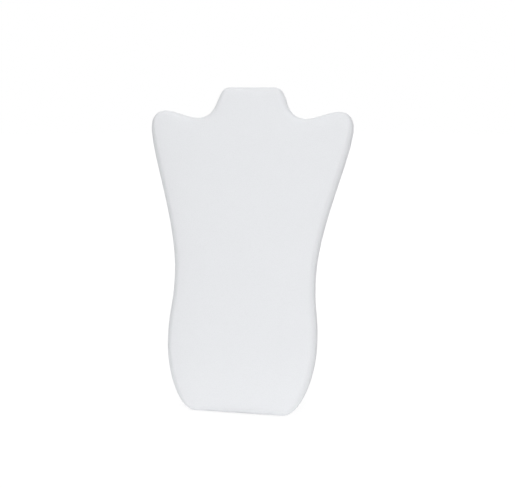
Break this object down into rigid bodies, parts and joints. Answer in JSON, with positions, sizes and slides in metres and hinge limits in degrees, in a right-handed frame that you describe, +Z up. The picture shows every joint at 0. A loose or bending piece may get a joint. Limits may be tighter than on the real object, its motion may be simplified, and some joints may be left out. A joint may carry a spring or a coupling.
{
  "type": "necklace stand",
  "caption": "White padded leatherette board in the shape of a neck and torso, leaning back on a folding strut, for showing a necklace.",
  "frame": {"origin": "middle of the bounding box at the surface the stand rests on", "axes": "+Z up, -Y is the side that the padded face looks to, +X to the right of someone who faces the padded side"},
  "size_m": [0.21, 0.1312, 0.3217],
  "materials": {
    "leatherette": "smooth cool white leatherette, soft satin sheen",
    "foam": "open foam",
    "fibreboard": "raw pressed fibreboard",
    "grey_card": "plain grey card",
    "lining_cloth": "short white flocked lining",
    "nickel_plate": "satin nickel plate",
    "satin_ribbon": "white satin weave",
    "clip_wire": "flat bright wire"
  },
  "bodies": {
    "board": {"core_board": "fibreboard", "foam_pad": "foam", "face_cover": "leatherette", "back_card": "grey_card", "back_lining": "lining_cloth", "hinge_fixed_leaf": "nickel_plate", "hinge_pin": "nickel_plate", "hinge_screws": "nickel_plate", "ribbon_stay": "satin_ribbon", "ribbon_clip_board": "clip_wire"},
    "strut": {"hinge_moving_leaf": "nickel_plate", "hinge_rivets": "nickel_plate", "strut_board": "fibreboard", "strut_cover": "leatherette", "strut_lining": "lining_cloth", "ribbon_clip_strut": "clip_wire"}
  },
  "joints": [
    {"name": "strut_fold", "type": "hinge", "parent": "board", "child": "strut", "pos_m": [0, 0.00712, 0.21591], "axis": [1, 0, 0], "range_deg": [-29, 0], "deforming": ["ribbon_stay"]}
  ]
}
